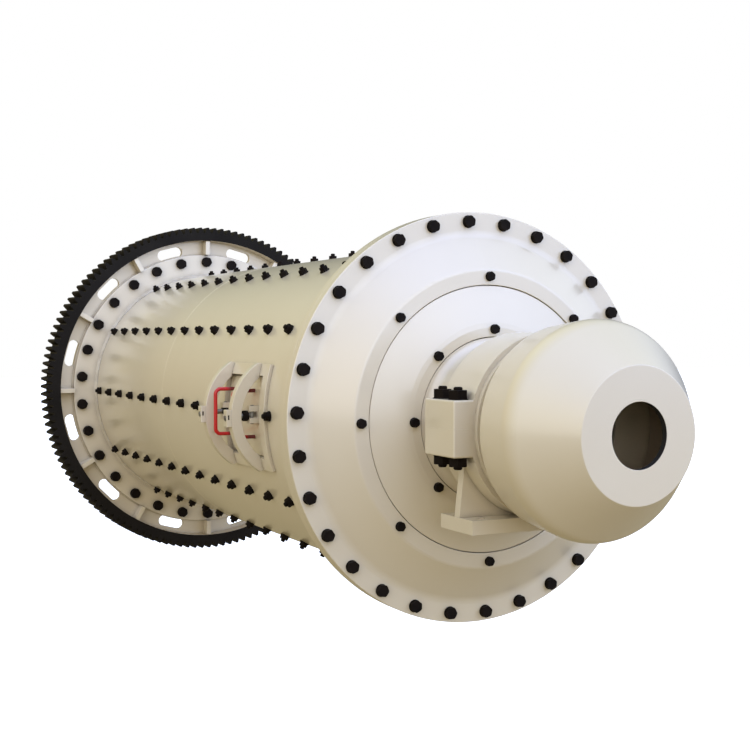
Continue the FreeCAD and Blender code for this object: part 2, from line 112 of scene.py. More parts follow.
def copyTo(pattern, places, name):     # each copy has its own mesh, and they end as one piece
    copies = []
    for place in places:
        makeActive(pattern)
        bpy.ops.object.duplicate(linked=False)
        twin = bpy.context.view_layer.objects.active
        twin.data.transform(place)
        copies.append(twin)
    bpy.data.objects.remove(pattern)
    return joinAll(copies, name)


def finishPiece(piece, body, material, sharpAngle=35):
    makeActive(piece)
    bpy.ops.object.shade_smooth_by_angle(angle=math.radians(sharpAngle))
    piece.data.materials.clear()
    piece.data.materials.append(material)
    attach(piece, body)
    print("made", piece.name, len(piece.data.polygons), "faces")


cameraLook = {
    "place": (5.0475, -3.3761, 0.4187),     # from the feed sole's middle, height above the mill axis
    "forward": (-0.89438, 0.44629, -0.03012),
    "right": (0.44649, 0.89479, 0.0),
    "lens": 60.2,
    "sensorWidth": 36,
    "farthest": 400,
}


def placeCamera(look):
    data = bpy.data.cameras.new("camera")
    camera = bpy.data.objects.new("camera", data)
    bpy.context.scene.collection.objects.link(camera)
    data.sensor_width = look["sensorWidth"]
    data.lens = look["lens"]
    data.clip_end = look["farthest"]
    forward = Vector(look["forward"]).normalized()
    right = Vector(look["right"]).normalized()
    pose = Matrix((right, right.cross(forward), -forward)).transposed().to_4x4()
    pose.translation = Vector(look["place"]) + Vector((0, 0, axisHeight))
    camera.matrix_world = pose
    bpy.context.scene.camera = camera


placeCamera(cameraLook)
print("camera placed")


def addNode(tree, kind, x, y, values=None):
    made = tree.nodes.new("ShaderNode" + kind)
    made.location = (x, y)
    for name, value in (values or {}).items():
        made.inputs[name].default_value = value
    return made


def wire(tree, start, out, end, into):
    tree.links.new(start.outputs[out], end.inputs[into])


def newGroup(name, inputs, outputs):
    tree = bpy.data.node_groups.new(name, "ShaderNodeTree")
    for label, kind, value in inputs:
        socket = tree.interface.new_socket(label, in_out="INPUT", socket_type="NodeSocket" + kind)
        socket.default_value = value
    for label, kind in outputs:
        tree.interface.new_socket(label, in_out="OUTPUT", socket_type="NodeSocket" + kind)
    start = tree.nodes.new("NodeGroupInput")
    end = tree.nodes.new("NodeGroupOutput")
    start.location = (-900, 0)
    end.location = (900, 0)
    return tree, start, end


def useGroup(tree, group, x, y, values=None):
    made = tree.nodes.new("ShaderNodeGroup")
    made.node_tree = group
    made.location = (x, y)
    for name, value in (values or {}).items():
        made.inputs[name].default_value = value
    return made


def makePaintSkin():     # sprayed enamel: soft patches of shade, and a fine orange peel
    tree, start, end = newGroup("paintSkin", [
        ("Colour", "Color", (0.7, 0.6, 0.4, 1)), ("Shade Colour", "Color", (0.6, 0.5, 0.3, 1)),
        ("Patch Size", "Float", 2.0), ("Patchiness", "Float", 0.4), ("Peel Size", "Float", 140.0),
        ("Gloss Change", "Float", 0.1), ("Base Roughness", "Float", 0.3)],
        [("Colour", "Color"), ("Roughness", "Float"), ("Height", "Float")])
    spot = addNode(tree, "TexCoord", -900, 300)
    patches = addNode(tree, "TexNoise", -600, 250, {"Detail": 5.0, "Roughness": 0.55})
    wire(tree, spot, "Object", patches, "Vector")
    wire(tree, start, "Patch Size", patches, "Scale")
    soft = addNode(tree, "MapRange", -400, 250, {"From Min": 0.35, "From Max": 0.7})
    wire(tree, patches, "Fac", soft, "Value")
    strength = addNode(tree, "Math", -200, 250)
    strength.operation = "MULTIPLY"
    wire(tree, soft, "Result", strength, 0)
    wire(tree, start, "Patchiness", strength, 1)
    colour = addNode(tree, "Mix", 0, 250)
    colour.data_type = "RGBA"
    wire(tree, strength, 0, colour, "Factor")
    tree.links.new(start.outputs["Colour"], colour.inputs[6])
    tree.links.new(start.outputs["Shade Colour"], colour.inputs[7])
    tree.links.new(colour.outputs[2], end.inputs["Colour"])
    peel = addNode(tree, "TexNoise", -600, -100, {"Detail": 2.0, "Roughness": 0.5})
    wire(tree, spot, "Object", peel, "Vector")
    wire(tree, start, "Peel Size", peel, "Scale")
    wire(tree, peel, "Fac", end, "Height")
    gloss = addNode(tree, "Math", -200, -250)
    gloss.operation = "MULTIPLY_ADD"
    wire(tree, patches, "Fac", gloss, 0)
    wire(tree, start, "Gloss Change", gloss, 1)
    wire(tree, start, "Base Roughness", gloss, 2)
    wire(tree, gloss, 0, end, "Roughness")
    return tree


def makeEdgeWear():     # where a corner catches knocks
    tree, start, end = newGroup("edgeWear", [
        ("Width", "Float", 0.004), ("Amount", "Float", 0.5), ("Grain", "Float", 30.0)],
        [("Mask", "Float"), ("Normal", "Vector")])
    rounded = addNode(tree, "Bevel", -600, 200)
    rounded.samples = 6
    wire(tree, start, "Width", rounded, "Radius")
    flat = addNode(tree, "NewGeometry", -600, 0)
    same = addNode(tree, "VectorMath", -400, 150)
    same.operation = "DOT_PRODUCT"
    wire(tree, rounded, "Normal", same, 0)
    wire(tree, flat, "Normal", same, 1)
    corner = addNode(tree, "MapRange", -200, 150, {"From Min": 0.995, "From Max": 0.85})
    wire(tree, same, "Value", corner, "Value")
    spot = addNode(tree, "TexCoord", -800, -200)
    grain = addNode(tree, "TexNoise", -400, -200, {"Detail": 3.0})
    wire(tree, spot, "Object", grain, "Vector")
    wire(tree, start, "Grain", grain, "Scale")
    broken = addNode(tree, "MapRange", -200, -200, {"From Min": 0.35, "From Max": 0.65})
    wire(tree, grain, "Fac", broken, "Value")
    worn = addNode(tree, "Math", 0, 0)
    worn.operation = "MULTIPLY"
    wire(tree, corner, "Result", worn, 0)
    wire(tree, broken, "Result", worn, 1)
    level = addNode(tree, "Math", 200, 0)
    level.operation = "MULTIPLY"
    wire(tree, worn, 0, level, 0)
    wire(tree, start, "Amount", level, 1)
    wire(tree, level, 0, end, "Mask")
    wire(tree, rounded, "Normal", end, "Normal")
    return tree


def makeDirtAndCreviceShade():     # dirt and painted shade beside fasteners and in corners, where ambient occlusion finds them, broken up by noise
    tree, start, end = newGroup("dirtAndCreviceShade", [
        ("Reach", "Float", 0.05), ("Amount", "Float", 0.5), ("Grain", "Float", 9.0)],
        [("Mask", "Float")])
    # the ambient occlusion darkening is painted shade
    nearby = addNode(tree, "AmbientOcclusion", -600, 200)
    nearby.samples = 6
    wire(tree, start, "Reach", nearby, "Distance")
    hidden = addNode(tree, "MapRange", -400, 200, {"From Min": 0.95, "From Max": 0.35})
    wire(tree, nearby, "AO", hidden, "Value")
    spot = addNode(tree, "TexCoord", -800, -100)
    grain = addNode(tree, "TexNoise", -600, -100, {"Detail": 6.0, "Roughness": 0.6})
    wire(tree, spot, "Object", grain, "Vector")
    wire(tree, start, "Grain", grain, "Scale")
    blotch = addNode(tree, "MapRange", -400, -100, {"From Min": 0.3, "From Max": 0.7, "To Min": 0.35})
    wire(tree, grain, "Fac", blotch, "Value")
    dirtAndShade = addNode(tree, "Math", -200, 50)
    dirtAndShade.operation = "MULTIPLY"
    wire(tree, hidden, "Result", dirtAndShade, 0)
    wire(tree, blotch, "Result", dirtAndShade, 1)
    level = addNode(tree, "Math", 0, 50)
    level.operation = "MULTIPLY"
    wire(tree, dirtAndShade, 0, level, 0)
    wire(tree, start, "Amount", level, 1)
    wire(tree, level, 0, end, "Mask")
    return tree


def makeInnerSide():     # 1 on the faces that look towards the mill axis
    tree, start, end = newGroup("innerSide", [("Axis Height", "Float", axisHeight)],
                                [("Mask", "Float"), ("Radius", "Float")])
    spot = addNode(tree, "TexCoord", -800, 0)
    centre = addNode(tree, "CombineXYZ", -800, -300)
    wire(tree, start, "Axis Height", centre, "Z")
    fromAxis = addNode(tree, "VectorMath", -600, -100)
    fromAxis.operation = "SUBTRACT"
    wire(tree, spot, "Object", fromAxis, 0)
    wire(tree, centre, "Vector", fromAxis, 1)
    across = addNode(tree, "VectorMath", -400, -100)
    across.operation = "MULTIPLY"
    across.inputs[1].default_value = (0, 1, 1)
    wire(tree, fromAxis, 0, across, 0)
    radius = addNode(tree, "VectorMath", -200, -300)
    radius.operation = "LENGTH"
    wire(tree, across, 0, radius, 0)
    wire(tree, radius, "Value", end, "Radius")
    radial = addNode(tree, "VectorMath", -200, -100)
    radial.operation = "NORMALIZE"
    wire(tree, across, 0, radial, 0)
    facing = addNode(tree, "VectorMath", 0, 0)
    facing.operation = "DOT_PRODUCT"
    wire(tree, radial, 0, facing, 0)
    wire(tree, spot, "Normal", facing, 1)
    mask = addNode(tree, "MapRange", 200, 0, {"From Min": -0.3, "From Max": -0.5})
    wire(tree, facing, "Value", mask, "Value")
    wire(tree, mask, "Result", end, "Mask")
    return tree


paintSkin = makePaintSkin()
edgeWear = makeEdgeWear()
dirtAndCreviceShade = makeDirtAndCreviceShade()
innerSide = makeInnerSide()


def startMaterial(name, settings):
    material = bpy.data.materials.new(name)
    material.use_nodes = True
    tree = material.node_tree
    shader = tree.nodes["Principled BSDF"]
    shader.location = (900, 0)
    tree.nodes["Material Output"].location = (1200, 0)
    for socket, value in settings.items():
        shader.inputs[socket].default_value = value
    return material, tree, shader


def mixColour(tree, x, y, factor, first, second, blend="MIX"):
    mix = addNode(tree, "Mix", x, y)
    mix.data_type = "RGBA"
    mix.blend_type = blend
    for index, value in ((0, factor), (6, first), (7, second)):
        if hasattr(value, "links"):
            tree.links.new(value, mix.inputs[index])
        else:
            mix.inputs[index].default_value = value
    return mix.outputs[2]


creamFinish = {
    "colour": (0.675, 0.595, 0.435, 1),
    "shade": (0.60, 0.515, 0.355, 1),
    "patchSize": 1.1,
    "patchiness": 0.35,
    "roughness": 0.34,
    # this colour is laid both as dirt and as painted shade in corners and beside fasteners
    "dirtAndShade": (0.16, 0.12, 0.075, 1),
    "dirtAndShadeReach": 0.035,
    "dirtAndShadeAmount": 0.5,
    "wearWidth": 0.004,
    "wearAmount": 0.35,
    "wearColour": (0.86, 0.83, 0.74, 1),     # paint pulls thin and pale over a corner; widened on the shell's flange beside the gear, it is also a painted highlight
    "peelSize": 150.0,
    "peelDepth": 0.00012,
    "inside": (0.072, 0.055, 0.036, 1),      # dusty iron inside the drum, trunnions and spout, darkened as painted shade of the hollows
    "lip": (0.015, 0.012, 0.009, 1),         # near-black painted shade on the hood's mouth bore and other inward faces close to the axis
    "lipRadius": 0.20,                       # all of the near-black painted shade lies nearer to the axis than this
    "lipFade": 0.02,
    "dirtRoughness": 0.7,
    "insideRoughness": 0.8,
    "coatRoughness": 0.2,
    "coatIor": 1.7,
}
rimHighlightAndShadeFinish = dict(creamFinish, wearWidth=0.014, wearAmount=0.9,
                 dirtAndShadeAmount=1.0, dirtAndShadeReach=0.06)                 # the shell's flange beside the gear, with a painted highlight along its edges and painted shade with dirt in its corners
headFinish = dict(creamFinish, dirtAndShadeAmount=0.12)                  # the heads get less painted shade and dirt in their corners than the shell
hoodFinish = dict(creamFinish, inside=(0.42, 0.34, 0.235, 1))    # the hood is painted inside too, under dust


def makeCreamPaint(name, look, darkInside):
    material, tree, shader = startMaterial(name, {
        "Coat Weight": 1.0, "Coat Roughness": look["coatRoughness"], "Coat IOR": look["coatIor"], "IOR": 1.5})
    skin = useGroup(tree, paintSkin, -600, 200, {
        "Colour": look["colour"], "Shade Colour": look["shade"], "Patch Size": look["patchSize"],
        "Patchiness": look["patchiness"], "Peel Size": look["peelSize"], "Base Roughness": look["roughness"]})
    dirtAndShade = useGroup(tree, dirtAndCreviceShade, -600, -150, {"Reach": look["dirtAndShadeReach"], "Amount": look["dirtAndShadeAmount"]})
    wear = useGroup(tree, edgeWear, -600, -400, {"Width": look["wearWidth"], "Amount": look["wearAmount"]})
    colour = mixColour(tree, -300, 200, wear.outputs["Mask"], skin.outputs["Colour"], look["wearColour"])
    # painted shade in corners and beside fasteners, mixed with dirt
    colour = mixColour(tree, -100, 200, dirtAndShade.outputs["Mask"], colour, look["dirtAndShade"])
    roughness = addNode(tree, "MapRange", 100, -50, {"To Max": look["dirtRoughness"]})
    wire(tree, dirtAndShade, "Mask", roughness, "Value")
    wire(tree, skin, "Roughness", roughness, "To Min")
    out = roughness.outputs["Result"]
    # faces that look towards the axis get the inside colour: painted shade over dusty iron, and near-black
    # painted shade close to the axis
    if darkInside:
        inner = useGroup(tree, innerSide, -100, -150)
        beyondLipShade = addNode(tree, "MapRange", 0, 450, {
            "From Min": look["lipRadius"], "From Max": look["lipRadius"] + look["lipFade"]})
        wire(tree, inner, "Radius", beyondLipShade, "Value")
        inside = mixColour(tree, 100, 400, beyondLipShade.outputs["Result"], look["lip"], look["inside"])
        colour = mixColour(tree, 200, 200, inner.outputs["Mask"], colour, inside)
        dull = addNode(tree, "MapRange", 350, -100, {"To Max": look["insideRoughness"]})
        wire(tree, inner, "Mask", dull, "Value")
        tree.links.new(out, dull.inputs["To Min"])
        out = dull.outputs["Result"]
        coat = addNode(tree, "MapRange", 350, -350, {"To Min": 1.0, "To Max": 0.0})
        wire(tree, inner, "Mask", coat, "Value")
        wire(tree, coat, "Result", shader, "Coat Weight")
    tree.links.new(colour, shader.inputs["Base Color"])
    tree.links.new(out, shader.inputs["Roughness"])
    peel = addNode(tree, "Bump", 600, -300, {"Strength": 0.5, "Distance": look["peelDepth"]})
    wire(tree, skin, "Height", peel, "Height")
    wire(tree, wear, "Normal", peel, "Normal")
    wire(tree, peel, "Normal", shader, "Normal")
    return material


gearFinish = {
    "colour": (0.0122, 0.0105, 0.0085, 1),
    "shade": (0.0180, 0.0155, 0.0126, 1),
    "patchSize": 4.0,
    "patchiness": 0.8,
    "roughness": 0.5,
    "gloss": 0.05,
    "castSize": 55.0,
    "castDepth": 0.0007,
    "wearColour": (0.055, 0.053, 0.050, 1),
    "wearWidth": 0.003,
    "wearAmount": 0.5,
    "wearGrain": 18.0,
    "creamRoughness": 0.3,     # on the painted inside of the rim
}


def makeGearIron(name, look, cream):
    material, tree, shader = startMaterial(name, {"Specular IOR Level": look["gloss"]})
    skin = useGroup(tree, paintSkin, -600, 200, {
        "Colour": look["colour"], "Shade Colour": look["shade"], "Patch Size": look["patchSize"],
        "Patchiness": look["patchiness"], "Peel Size": look["castSize"], "Base Roughness": look["roughness"]})
    wear = useGroup(tree, edgeWear, -600, -300, {
        "Width": look["wearWidth"], "Amount": look["wearAmount"], "Grain": look["wearGrain"]})
    inner = useGroup(tree, innerSide, -600, -550)
    creamSkin = useGroup(tree, paintSkin, -600, 550, {
        "Colour": cream["colour"], "Shade Colour": cream["shade"], "Patch Size": cream["patchSize"],
        "Patchiness": cream["patchiness"]})
    colour = mixColour(tree, -200, 200, wear.outputs["Mask"], skin.outputs["Colour"], look["wearColour"])
    colour = mixColour(tree, 100, 200, inner.outputs["Mask"], colour, creamSkin.outputs["Colour"])
    tree.links.new(colour, shader.inputs["Base Color"])
    gloss = addNode(tree, "MapRange", 300, -50, {"To Max": look["creamRoughness"]})
    wire(tree, inner, "Mask", gloss, "Value")
    wire(tree, skin, "Roughness", gloss, "To Min")
    wire(tree, gloss, "Result", shader, "Roughness")
    cast = addNode(tree, "Bump", 500, -300, {"Strength": 0.6, "Distance": look["castDepth"]})
    wire(tree, skin, "Height", cast, "Height")
    wire(tree, wear, "Normal", cast, "Normal")
    wire(tree, cast, "Normal", shader, "Normal")
    return material


boltFinish = {
    "colour": (0.0062, 0.0045, 0.0034, 1),
    "shade": (0.0130, 0.0088, 0.0062, 1),
    "patchSize": 14.0,
    "patchiness": 0.9,
    "roughness": 0.52,
    "gloss": 0.06,
    "grainSize": 260.0,
    "grainDepth": 0.0002,
    "wearColour": (0.045, 0.038, 0.030, 1),
    "wearWidth": 0.0015,
    "wearAmount": 0.5,
    "wearGrain": 60.0,
}


def makeDarkSteel(name, look):
    material, tree, shader = startMaterial(name, {"Specular IOR Level": look["gloss"]})
    skin = useGroup(tree, paintSkin, -600, 200, {
        "Colour": look["colour"], "Shade Colour": look["shade"], "Patch Size": look["patchSize"],
        "Patchiness": look["patchiness"], "Peel Size": look["grainSize"],
        "Base Roughness": look["roughness"]})
    wear = useGroup(tree, edgeWear, -600, -300, {
        "Width": look["wearWidth"], "Amount": look["wearAmount"], "Grain": look["wearGrain"]})
    colour = mixColour(tree, 0, 200, wear.outputs["Mask"], skin.outputs["Colour"], look["wearColour"])
    tree.links.new(colour, shader.inputs["Base Color"])
    wire(tree, skin, "Roughness", shader, "Roughness")
    grain = addNode(tree, "Bump", 500, -300, {"Strength": 0.5, "Distance": look["grainDepth"]})
    wire(tree, skin, "Height", grain, "Height")
    wire(tree, wear, "Normal", grain, "Normal")
    wire(tree, grain, "Normal", shader, "Normal")
    return material


redFinish = {
    "colour": (0.58, 0.007, 0.009, 1),
    "shade": (0.44, 0.005, 0.007, 1),
    "patchSize": 9.0,
    "patchiness": 0.6,
    "roughness": 0.25,
    "coat": 0.2,
    "coatRoughness": 0.15,
    "peelSize": 300.0,
    "peelDepth": 0.00015,
    "dirtAndShadeReach": 0.06,
    "dirtAndShadeAmount": 0.8,
    "rootShadeAndDirt": (0.15, 0.008, 0.008, 1),     # painted shade, with some dirt, where the legs meet the cover
    "rootShadeReach": (0.945, 0.970),         # fades out between these distances from the mill axis
}


def makeRedPaint(name, look):
    material, tree, shader = startMaterial(name, {
        "Coat Weight": look["coat"], "Coat Roughness": look["coatRoughness"]})
    skin = useGroup(tree, paintSkin, -600, 200, {
        "Colour": look["colour"], "Shade Colour": look["shade"], "Patch Size": look["patchSize"],
        "Patchiness": look["patchiness"], "Peel Size": look["peelSize"], "Base Roughness": look["roughness"]})
    dirtAndShade = useGroup(tree, dirtAndCreviceShade, -600, -100, {"Reach": look["dirtAndShadeReach"], "Amount": look["dirtAndShadeAmount"]})
    # painted shade and dirt where ambient occlusion finds corners
    colour = mixColour(tree, 0, 200, dirtAndShade.outputs["Mask"], skin.outputs["Colour"], look["rootShadeAndDirt"])
    where = useGroup(tree, innerSide, -600, -350)
    near = addNode(tree, "MapRange", -300, -350, {
        "From Min": look["rootShadeReach"][0], "From Max": look["rootShadeReach"][1]})
    wire(tree, where, "Radius", near, "Value")
    # painted shade fading in along the legs towards the cover
    colour = mixColour(tree, 200, 200, near.outputs["Result"], look["rootShadeAndDirt"], colour)
    tree.links.new(colour, shader.inputs["Base Color"])
    wire(tree, skin, "Roughness", shader, "Roughness")
    peel = addNode(tree, "Bump", 500, -300, {"Strength": 0.4, "Distance": look["peelDepth"]})
    wire(tree, skin, "Height", peel, "Height")
    wire(tree, peel, "Normal", shader, "Normal")
    return material


brightFinish = {
    "colour": (0.27, 0.26, 0.23, 1),
    "shade": (0.13, 0.12, 0.10, 1),
    "patchSize": 22.0,
    "patchiness": 0.7,
    "roughness": 0.32,
    "glossChange": 0.25,
    "metallic": 0.85,
    "markSize": 420.0,
    "markDepth": 0.0001,
    "wearColour": (0.85, 0.84, 0.80, 1),
    "wearWidth": 0.0015,
    "wearAmount": 0.3,
}


def makeBrightSteel(name, look):
    material, tree, shader = startMaterial(name, {"Metallic": look["metallic"]})
    skin = useGroup(tree, paintSkin, -600, 200, {
        "Colour": look["colour"], "Shade Colour": look["shade"], "Patch Size": look["patchSize"],
        "Patchiness": look["patchiness"], "Peel Size": look["markSize"], "Gloss Change": look["glossChange"],
        "Base Roughness": look["roughness"]})
    wear = useGroup(tree, edgeWear, -600, -300, {"Width": look["wearWidth"], "Amount": look["wearAmount"]})
    colour = mixColour(tree, 0, 200, wear.outputs["Mask"], skin.outputs["Colour"], look["wearColour"])
    tree.links.new(colour, shader.inputs["Base Color"])
    wire(tree, skin, "Roughness", shader, "Roughness")
    marks = addNode(tree, "Bump", 500, -300, {"Strength": 0.4, "Distance": look["markDepth"]})
    wire(tree, skin, "Height", marks, "Height")
    wire(tree, wear, "Normal", marks, "Normal")
    wire(tree, marks, "Normal", shader, "Normal")
    return material


creamPaint = makeCreamPaint("creamPaint", creamFinish, False)
creamShell = makeCreamPaint("creamShell", creamFinish, True)
creamRimHighlightAndShade = makeCreamPaint("creamRimHighlightAndShade", rimHighlightAndShadeFinish, False)
creamHead = makeCreamPaint("creamHead", headFinish, False)
creamHood = makeCreamPaint("creamHood", hoodFinish, True)
gearIron = makeGearIron("gearIron", gearFinish, creamFinish)
boltSteel = makeDarkSteel("boltSteel", boltFinish)
redPaint = makeRedPaint("redPaint", redFinish)
brightSteel = makeBrightSteel("brightSteel", brightFinish)

ownFinish = {     # the other castings are plain cream
    "shell": creamShell, "feed_trunnion": creamShell, "discharge_trunnion": creamShell,
    "discharge_spout": creamShell, "feed_hood": creamHood, "discharge_shell_flange": creamRimHighlightAndShade,
    "feed_head": creamHead, "feed_head_plate": creamHead,
    "discharge_head": creamHead, "discharge_head_plate": creamHead,
    "girth_gear_rim": gearIron, "manhole_handles": redPaint, "manhole_studs": brightSteel,
}
for nodeName, node in nodes.items():
    node.data.materials.clear()
    node.data.materials.append(ownFinish.get(nodeName, creamPaint))
print("finishes set on", len(nodes), "castings")


fit = {
    "sunk": 0.001,         # how far each part goes into the one under it, so that no gap shows
    "washerCut": 0.3,      # of the washer's thickness
    "cornerCut": 0.09,     # of the size across flats
    "studCut": 0.12,       # of the stud's diameter
}


def hexBlock(across, height, seat, cornerCut):     # a six-sided head or nut with its top corners cut
    bpy.ops.mesh.primitive_cylinder_add(vertices=6, radius=across / math.sqrt(3), depth=height,
                                        location=(0, 0, seat + height / 2))
    block = settle(bpy.context.object)
    pickPoints(block, lambda co: co.z > seat + height / 2)
    bpy.ops.mesh.bevel(offset=cornerCut, affect="VERTICES")
    doneEditing()
    return block


def roundBar(radius, length, seat, sides, cut):     # with its top rim chamfered
    bpy.ops.mesh.primitive_cylinder_add(vertices=sides, radius=radius, depth=length,
                                        location=(0, 0, seat + length / 2))
    bar = settle(bpy.context.object)
    nearTop = seat + length * 0.99
    pickEdges(bar, lambda a, b: a.z > nearTop and b.z > nearTop)
    bpy.ops.mesh.bevel(offset=cut, affect="EDGES")
    doneEditing()
    return bar


def boltPattern(size, name):     # washer, hexagon and, on a nut, the stud's end
    thick = size["washerThick"]
    parts = [roundBar(size["washer"] / 2, thick, -fit["sunk"], size["sides"], thick * fit["washerCut"]),
             hexBlock(size["across"], size["height"], thick - fit["sunk"], size["across"] * fit["cornerCut"])]
    if size.get("studEnd"):
        parts.append(roundBar(size["stud"] / 2, size["studEnd"], thick + size["height"] - 2 * fit["sunk"],
                              size["sides"], size["stud"] * fit["studCut"]))
    return joinAll(parts, name)


def onFace(x, radius, count, firstAngle, side):     # side 1 looks along +X, -1 along -X
    places = []
    for k in range(count):
        turn = math.radians(firstAngle + 360 / count * k)
        places.append(Matrix.Translation((x, 0, axisHeight)) @ Matrix.Rotation(turn, 4, "X")
                      @ Matrix.Translation((0, 0, radius)) @ Matrix.Rotation(side * math.pi / 2, 4, "Y")
                      @ Matrix.Rotation(random.uniform(0, math.pi / 3), 4, "Z"))
    return places


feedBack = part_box("feed_head")[0].x     # joint of the feed head and shell
flangeThick = 0.050                     # of the heads' and the shell's flanges
feedFace = feedBack + flangeThick
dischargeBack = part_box("girth_gear_web")[0].x
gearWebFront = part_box("girth_gear_web")[1].x

flangeBolts = {"across": 0.056, "height": 0.024, "washer": 0.066, "washerThick": 0.005, "sides": 20,
               "circle": 1.015, "count": 30, "first": 3}
feedHeads = copyTo(boltPattern(flangeBolts, "pattern"), onFace(feedFace, flangeBolts["circle"],
                   flangeBolts["count"], flangeBolts["first"], 1), "feed_flange_bolts")
finishPiece(feedHeads, "drum", boltSteel)

flangeNuts = {"across": 0.056, "height": 0.030, "washer": 0.066, "washerThick": 0.005, "sides": 16,
              "stud": 0.036, "studEnd": 0.014}
feedNuts = copyTo(boltPattern(flangeNuts, "pattern"), onFace(feedBack - flangeThick, flangeBolts["circle"],
                  flangeBolts["count"], flangeBolts["first"], -1), "feed_flange_nuts")
finishPiece(feedNuts, "drum", boltSteel)

gearBolts = {"across": 0.070, "height": 0.030, "washer": 0.080, "washerThick": 0.006, "sides": 20,
             "circle": 1.036, "count": 30, "first": 0}
gearHeads = copyTo(boltPattern(gearBolts, "pattern"), onFace(gearWebFront + flangeThick, gearBolts["circle"],
                   gearBolts["count"], gearBolts["first"], 1), "gear_flange_bolts")
finishPiece(gearHeads, "drum", boltSteel)

gearNuts = {"across": 0.070, "height": 0.036, "washer": 0.080, "washerThick": 0.006, "sides": 16,
            "stud": 0.045, "studEnd": 0.016}
gearNutPiece = copyTo(boltPattern(gearNuts, "pattern"), onFace(dischargeBack - flangeThick,
                      gearBolts["circle"], gearBolts["count"], gearBolts["first"], -1), "gear_flange_nuts")
finishPiece(gearNutPiece, "drum", boltSteel)

bandBolts = {"across": 0.043, "height": 0.018, "washer": 0.050, "washerThick": 0.004, "sides": 18,
             "outerCircle": 0.728, "innerCircle": 0.460, "count": 8}
for end, side in (("feed", 1), ("discharge", -1)):
    head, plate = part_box(end + "_head"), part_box(end + "_head_plate")
    outerFace = head[1].x if side > 0 else head[0].x
    innerFace = plate[1].x if side > 0 else plate[0].x
    places = onFace(outerFace, bandBolts["outerCircle"], bandBolts["count"], 0, side)
    places += onFace(innerFace, bandBolts["innerCircle"], bandBolts["count"], 0, side)
    bands = copyTo(boltPattern(bandBolts, "pattern"), places, end + "_band_bolts")
    finishPiece(bands, "drum", boltSteel)

hoodBolts = {"across": 0.036, "height": 0.016, "washer": 0.044, "washerThick": 0.004, "sides": 16,
             "circle": 0.392, "count": 12, "first": 15}
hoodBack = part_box("feed_hood_back")[0].x
hoodHeads = copyTo(boltPattern(hoodBolts, "pattern"), onFace(hoodBack, hoodBolts["circle"],
                   hoodBolts["count"], hoodBolts["first"], -1), "hood_bolts")
finishPiece(hoodHeads, "drum", boltSteel)

spoutBolts = {"across": 0.032, "height": 0.015, "washer": 0.038, "washerThick": 0.003, "sides": 16,
              "circle": 0.303, "count": 12, "first": 15, "flange": 0.030}
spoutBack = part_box("discharge_spout")[1].x - spoutBolts["flange"]
spoutHeads = copyTo(boltPattern(spoutBolts, "pattern"), onFace(spoutBack, spoutBolts["circle"],
                    spoutBolts["count"], spoutBolts["first"], -1), "spout_bolts")
finishPiece(spoutHeads, "drum", boltSteel)
print("flange, band, hood and spout bolts done")


linerBolts = {
    "rows": 12,
    "perRow": 13,
    "pitch": 0.2966,
    "first": 0.1795,          # from the gear web
    "manholeRow": 3,          # the row that faces -Y
    "skip": (10, 11),         # its places that the manhole takes
    "across": 0.046, "height": 0.020, "washer": 0.058, "washerThick": 0.009, "sides": 10,
    "stud": 0.027, "studEnd": 0.016,
}


def linerPlaces(size):
    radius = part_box("shell")[1].z - axisHeight
    places = []
    for row in range(size["rows"]):
        turn = math.radians(360 / size["rows"] * row)
        for k in range(size["perRow"]):
            if row == size["manholeRow"] and k in size["skip"]:
                continue
            x = gearWebFront + size["first"] + size["pitch"] * k
            places.append(Matrix.Translation((x, 0, axisHeight)) @ Matrix.Rotation(turn, 4, "X")
                          @ Matrix.Translation((0, 0, radius))
                          @ Matrix.Rotation(random.uniform(0, math.pi / 3), 4, "Z"))
    return places


liners = copyTo(boltPattern(linerBolts, "pattern"), linerPlaces(linerBolts), "liner_bolts")
finishPiece(liners, "drum", boltSteel)


capStuds = {"across": 0.082, "height": 0.040, "washer": 0.092, "washerThick": 0.005, "sides": 24,
            "stud": 0.042, "studEnd": 0.016, "alongAxis": 0.071, "fromAxis": 0.467, "earHeight": 0.132}
for end in ("feed", "discharge"):
    low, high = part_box(end + "_bearing_cap")
    middle = (low.x + high.x) / 2
    places = []
    for along in (-1, 1):
        for across in (-1, 1):
            for up in (-1, 1):
                turn = Matrix.Rotation(0 if up > 0 else math.pi, 4, "X")
                places.append(Matrix.Translation((middle + along * capStuds["alongAxis"],
                              across * capStuds["fromAxis"], axisHeight + up * capStuds["earHeight"])) @ turn)
    studs = copyTo(boltPattern(capStuds, "pattern"), places, end + "_cap_studs")
    finishPiece(studs, "bearings", boltSteel)
print("bearing studs done")


manholeNuts = {
    "across": 0.050, "height": 0.030, "cornerCut": 0.004,
    "feedSideOut": 0.998,      # the nut's outer face, from the axis, against the bow
    "gearSideOut": 0.962,
    "drop": 0.006,            # below the mill axis
    "keyWide": 0.007, "keyTall": 0.024, "keyProud": 0.002,     # the wedge key in each block's side
    "keyInset": 0.012,        # from the block's outer face
    "keyRise": 0.005,         # above the block's middle
    "blockReach": 0.15,       # a block lies within this of its bow
}


def wedgeKey(size):     # its chamfered end, on the side of the block that faces the feed
    bpy.ops.mesh.primitive_cube_add(size=1, scale=(size["keyProud"] * 2, size["keyWide"], size["keyTall"]))
    key = settle(bpy.context.object)
    pickEdges(key, lambda a, b: True)
    bpy.ops.mesh.bevel(offset=size["keyProud"] * 0.6, affect="EDGES")
    doneEditing()
    return key


